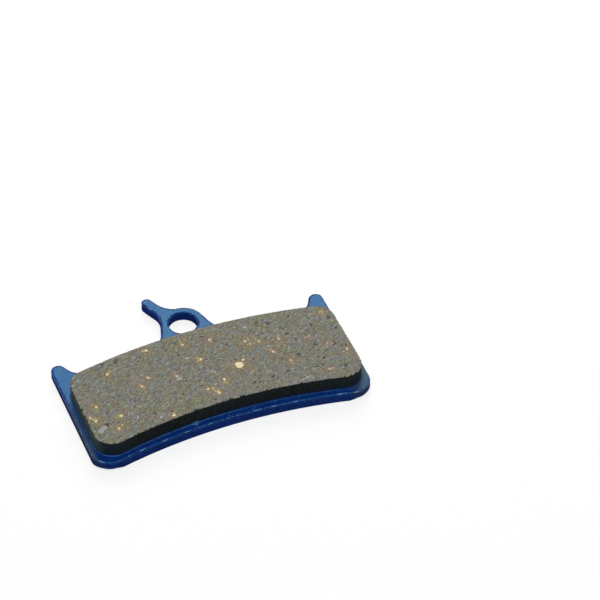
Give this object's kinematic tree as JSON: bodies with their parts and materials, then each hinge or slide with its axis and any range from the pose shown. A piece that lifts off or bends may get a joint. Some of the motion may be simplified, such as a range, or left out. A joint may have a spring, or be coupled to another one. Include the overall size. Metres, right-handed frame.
{
  "type": "bicycle disc brake pad",
  "caption": "Bicycle disc brake pad: an arched friction block moulded onto a painted steel backing plate with corner horns, a pin eye and a leaning finger.",
  "frame": {"origin": "on the back face of the backing plate, behind the middle of the friction block", "axes": "+X along the pad, +Y from the hub side to the ear with the pin eye, +Z out of the friction face"},
  "size_m": [0.048, 0.0337, 0.0046],
  "materials": {
    "blue_paint": "gloss",
    "friction_compound": "rough, ground flat"
  },
  "bodies": {
    "root": {"backing_plate": "blue_paint", "friction_block": "friction_compound"}
  },
  "joints": []
}
